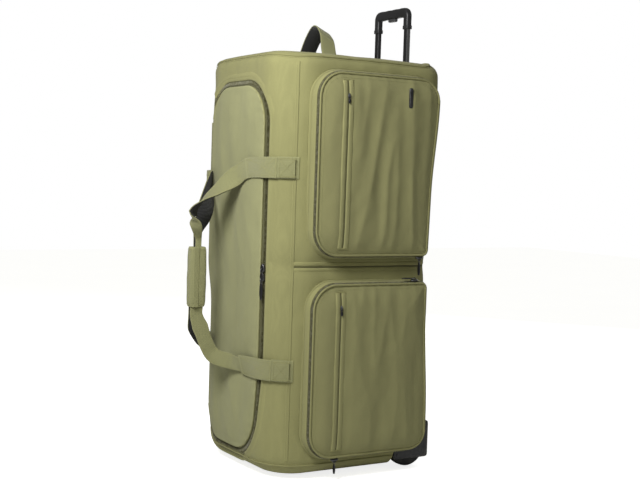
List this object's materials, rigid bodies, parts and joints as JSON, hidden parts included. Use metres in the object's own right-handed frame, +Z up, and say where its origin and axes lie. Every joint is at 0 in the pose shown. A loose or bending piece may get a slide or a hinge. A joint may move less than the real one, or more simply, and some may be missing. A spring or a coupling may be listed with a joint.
{
  "type": "rolling duffel bag",
  "caption": "Upright rolling duffel with zip-round front lid, stacked side pockets, wrapped carry handle, top grab loop, telescopic handle and corner wheels.",
  "frame": {"origin": "on the floor under the middle of the whole bag's box", "axes": "+Z up, -Y out of the front lid, +X out of the right pockets; the wheels and telescopic handle are at +Y"},
  "size_m": [0.4214, 0.4827, 0.917],
  "materials": {
    "canvas": "woven, matt",
    "bellows_cloth": "woven, matt",
    "webbing": "ribbed webbing",
    "zip_coil": "moulded coil on tape",
    "black_plastic": "moulded, fine grain",
    "button_plastic": "satin",
    "wheel_rubber": "matt",
    "stiff_board": "fluted sheet",
    "tube_metal": "dark anodised",
    "steel": "drawn",
    "gunmetal": "dark plated"
  },
  "bodies": {
    "case": {"main_shell": "canvas", "base_board": "stiff_board", "bottom_board": "stiff_board", "main_zip": "zip_coil", "pocket_frame_right_upper": "canvas", "pocket_frame_right_lower": "bellows_cloth", "pocket_frame_left_upper": "canvas", "pocket_frame_left_lower": "bellows_cloth", "top_handle": "webbing", "handle_channel_left": "steel", "handle_channel_right": "steel", "handle_cover": "canvas", "handle_bezel": "black_plastic", "back_skid_left": "black_plastic", "back_skid_right": "black_plastic", "wheel_housing_left": "black_plastic", "wheel_housing_right": "black_plastic", "axle_left": "steel", "axle_right": "steel", "foot_left": "wheel_rubber", "foot_right": "wheel_rubber"},
    "lid": {"main_lid": "canvas"},
    "strap_left": {"carry_strap_left": "webbing", "grip_wrap": "webbing"},
    "strap_right": {"carry_strap_right": "webbing"},
    "trolley": {"handle_tube_left": "tube_metal", "handle_tube_right": "tube_metal", "trolley_grip": "black_plastic"},
    "button": {"push_button": "button_plastic", "push_rod_left": "tube_metal", "push_rod_right": "tube_metal"},
    "pin_left": {"lock_pin_left": "steel"},
    "pin_right": {"lock_pin_right": "steel"},
    "wheel_left": {"hub_left": "black_plastic", "tyre_left": "wheel_rubber"},
    "wheel_right": {"hub_right": "black_plastic", "tyre_right": "wheel_rubber"},
    "flap_right_upper": {"pocket_flap_right_upper": "canvas", "badge": "gunmetal"},
    "slash_slider_right_upper": {"slash_slider_right_upper": "gunmetal"},
    "flap_right_lower": {"pocket_flap_right_lower": "bellows_cloth"},
    "slash_slider_right_lower": {"slash_slider_right_lower": "gunmetal"},
    "flap_left_upper": {"pocket_flap_left_upper": "canvas"},
    "slash_slider_left_upper": {"slash_slider_left_upper": "gunmetal"},
    "flap_left_lower": {"pocket_flap_left_lower": "bellows_cloth"},
    "slash_slider_left_lower": {"slash_slider_left_lower": "gunmetal"},
    "lid_slider_upper": {"lid_slider_upper": "gunmetal"},
    "lid_pull_upper": {"lid_pull_upper": "gunmetal"},
    "lid_slider_lower": {"lid_slider_lower": "gunmetal"},
    "lid_pull_lower": {"lid_pull_lower": "gunmetal"},
    "pocket_slider_right_upper": {"pocket_slider_right_upper": "gunmetal"},
    "pocket_pull_right_upper": {"pocket_pull_right_upper": "gunmetal"},
    "pocket_slider_right_lower": {"pocket_slider_right_lower": "gunmetal"},
    "pocket_pull_right_lower": {"pocket_pull_right_lower": "gunmetal"},
    "pocket_slider_left_upper": {"pocket_slider_left_upper": "gunmetal"},
    "pocket_pull_left_upper": {"pocket_pull_left_upper": "gunmetal"},
    "pocket_slider_left_lower": {"pocket_slider_left_lower": "gunmetal"},
    "pocket_pull_left_lower": {"pocket_pull_left_lower": "gunmetal"},
    "pocket_slider_right_top": {"pocket_slider_right_top": "gunmetal"},
    "pocket_pull_right_top": {"pocket_pull_right_top": "gunmetal"}
  },
  "joints": [
    {"name": "lid_hinge", "type": "hinge", "parent": "case", "child": "lid", "pos_m": [-0.109, -0.1262, 0.39], "axis": [0, 0, -1], "range_deg": [0, 165], "deforming": ["carry_strap_right"]},
    {"name": "strap_left_swing", "type": "hinge", "parent": "case", "child": "strap_left", "pos_m": [-0.15309, -0.10856, 0.393], "axis": [0, 0, -1], "range_deg": [0, 165]},
    {"name": "strap_right_swing", "type": "hinge", "parent": "case", "child": "strap_right", "pos_m": [0.15309, -0.10856, 0.393], "axis": [0, 0, 1], "range_deg": [0, 135]},
    {"name": "handle_slide", "type": "slide", "parent": "case", "child": "trolley", "axis": [0, 0, 1], "range_m": [-0.085, 0.28]},
    {"name": "button_press", "type": "slide", "parent": "trolley", "child": "button", "axis": [0, 0, 1], "range_m": [0, 0.004], "stiffness_N_per_m": 400, "springref_m": -0.003},
    {"name": "pin_left_draw", "type": "slide", "parent": "trolley", "child": "pin_left", "axis": [1, 0, 0], "range_m": [0, 0.002]},
    {"name": "pin_right_draw", "type": "slide", "parent": "trolley", "child": "pin_right", "axis": [-1, 0, 0], "range_m": [0, 0.002]},
    {"name": "wheel_left_spin", "type": "hinge", "parent": "case", "child": "wheel_left", "pos_m": [-0.148, 0.1878, 0.04], "axis": [1, 0, 0], "continuous": true},
    {"name": "wheel_right_spin", "type": "hinge", "parent": "case", "child": "wheel_right", "pos_m": [0.148, 0.1878, 0.04], "axis": [1, 0, 0], "continuous": true},
    {"name": "flap_right_upper_hinge", "type": "hinge", "parent": "case", "child": "flap_right_upper", "pos_m": [0.2004, 0.1943, 0.5895], "axis": [0, 0, 1], "range_deg": [0, 150]},
    {"name": "slash_slider_right_upper_run", "type": "slide", "parent": "flap_right_upper", "child": "slash_slider_right_upper", "axis": [0, 0, 1], "range_m": [-0.24, 0]},
    {"name": "flap_right_lower_hinge", "type": "hinge", "parent": "case", "child": "flap_right_lower", "pos_m": [0.2004, 0.1903, 0.2065], "axis": [0, 0, 1], "range_deg": [0, 150]},
    {"name": "slash_slider_right_lower_run", "type": "slide", "parent": "flap_right_lower", "child": "slash_slider_right_lower", "axis": [0, 0, 1], "range_m": [-0.23, 0]},
    {"name": "flap_left_upper_hinge", "type": "hinge", "parent": "case", "child": "flap_left_upper", "pos_m": [-0.2004, 0.1943, 0.5895], "axis": [0, 0, -1], "range_deg": [0, 150]},
    {"name": "slash_slider_left_upper_run", "type": "slide", "parent": "flap_left_upper", "child": "slash_slider_left_upper", "axis": [0, 0, 1], "range_m": [-0.24, 0]},
    {"name": "flap_left_lower_hinge", "type": "hinge", "parent": "case", "child": "flap_left_lower", "pos_m": [-0.2004, 0.1903, 0.2065], "axis": [0, 0, -1], "range_deg": [0, 150]},
    {"name": "slash_slider_left_lower_run", "type": "slide", "parent": "flap_left_lower", "child": "slash_slider_left_lower", "axis": [0, 0, 1], "range_m": [-0.23, 0]},
    {"name": "lid_slider_upper_run", "type": "slide", "parent": "case", "child": "lid_slider_upper", "axis": [0, 0, 1], "range_m": [0, 0.145]},
    {"name": "lid_pull_upper_swing", "type": "hinge", "parent": "lid_slider_upper", "child": "lid_pull_upper", "pos_m": [0.11779, -0.13096, 0.389], "axis": [-0.9649, -0.2625, 0], "range_deg": [0, 160]},
    {"name": "lid_slider_lower_run", "type": "slide", "parent": "case", "child": "lid_slider_lower", "axis": [0, 0, 1], "range_m": [-0.128, 0]},
    {"name": "lid_pull_lower_swing", "type": "hinge", "parent": "lid_slider_lower", "child": "lid_pull_lower", "pos_m": [0.11779, -0.13096, 0.371], "axis": [-0.9649, -0.2625, 0], "range_deg": [0, 85]},
    {"name": "pocket_slider_right_upper_run", "type": "slide", "parent": "case", "child": "pocket_slider_right_upper", "axis": [0, 1, 0], "range_m": [-0.18, 0]},
    {"name": "pocket_pull_right_upper_swing", "type": "hinge", "parent": "pocket_slider_right_upper", "child": "pocket_pull_right_upper", "pos_m": [0.1945, 0.1723, 0.4122], "axis": [1, 0, 0], "range_deg": [-70, 70]},
    {"name": "pocket_slider_right_lower_run", "type": "slide", "parent": "case", "child": "pocket_slider_right_lower", "axis": [0, 1, 0], "range_m": [0, 0.15]},
    {"name": "pocket_pull_right_lower_swing", "type": "hinge", "parent": "pocket_slider_right_lower", "child": "pocket_pull_right_lower", "pos_m": [0.1945, -0.0067, 0.0362], "axis": [1, 0, 0], "range_deg": [-70, 70]},
    {"name": "pocket_slider_left_upper_run", "type": "slide", "parent": "case", "child": "pocket_slider_left_upper", "axis": [0, 1, 0], "range_m": [-0.18, 0]},
    {"name": "pocket_pull_left_upper_swing", "type": "hinge", "parent": "pocket_slider_left_upper", "child": "pocket_pull_left_upper", "pos_m": [-0.1945, 0.1723, 0.4122], "axis": [1, 0, 0], "range_deg": [-70, 70]},
    {"name": "pocket_slider_left_lower_run", "type": "slide", "parent": "case", "child": "pocket_slider_left_lower", "axis": [0, 1, 0], "range_m": [0, 0.15]},
    {"name": "pocket_pull_left_lower_swing", "type": "hinge", "parent": "pocket_slider_left_lower", "child": "pocket_pull_left_lower", "pos_m": [-0.1945, -0.0067, 0.0362], "axis": [1, 0, 0], "range_deg": [-70, 70]},
    {"name": "pocket_slider_right_top_run", "type": "slide", "parent": "case", "child": "pocket_slider_right_top", "axis": [0, 1, 0], "range_m": [-0.16, 0]},
    {"name": "pocket_pull_right_top_swing", "type": "hinge", "parent": "pocket_slider_right_top", "child": "pocket_pull_right_top", "pos_m": [0.1945, 0.1623, 0.3768], "axis": [-1, 0, 0], "range_deg": [0, 30]}
  ],
  "couplings": [
    {"joint": "strap_left_swing", "follows": "lid_hinge", "ratio": 1},
    {"joint": "strap_right_swing", "follows": "lid_hinge", "ratio": 0.8},
    {"joint": "pin_left_draw", "follows": "button_press", "ratio": 0.5},
    {"joint": "pin_right_draw", "follows": "button_press", "ratio": 0.5}
  ]
}
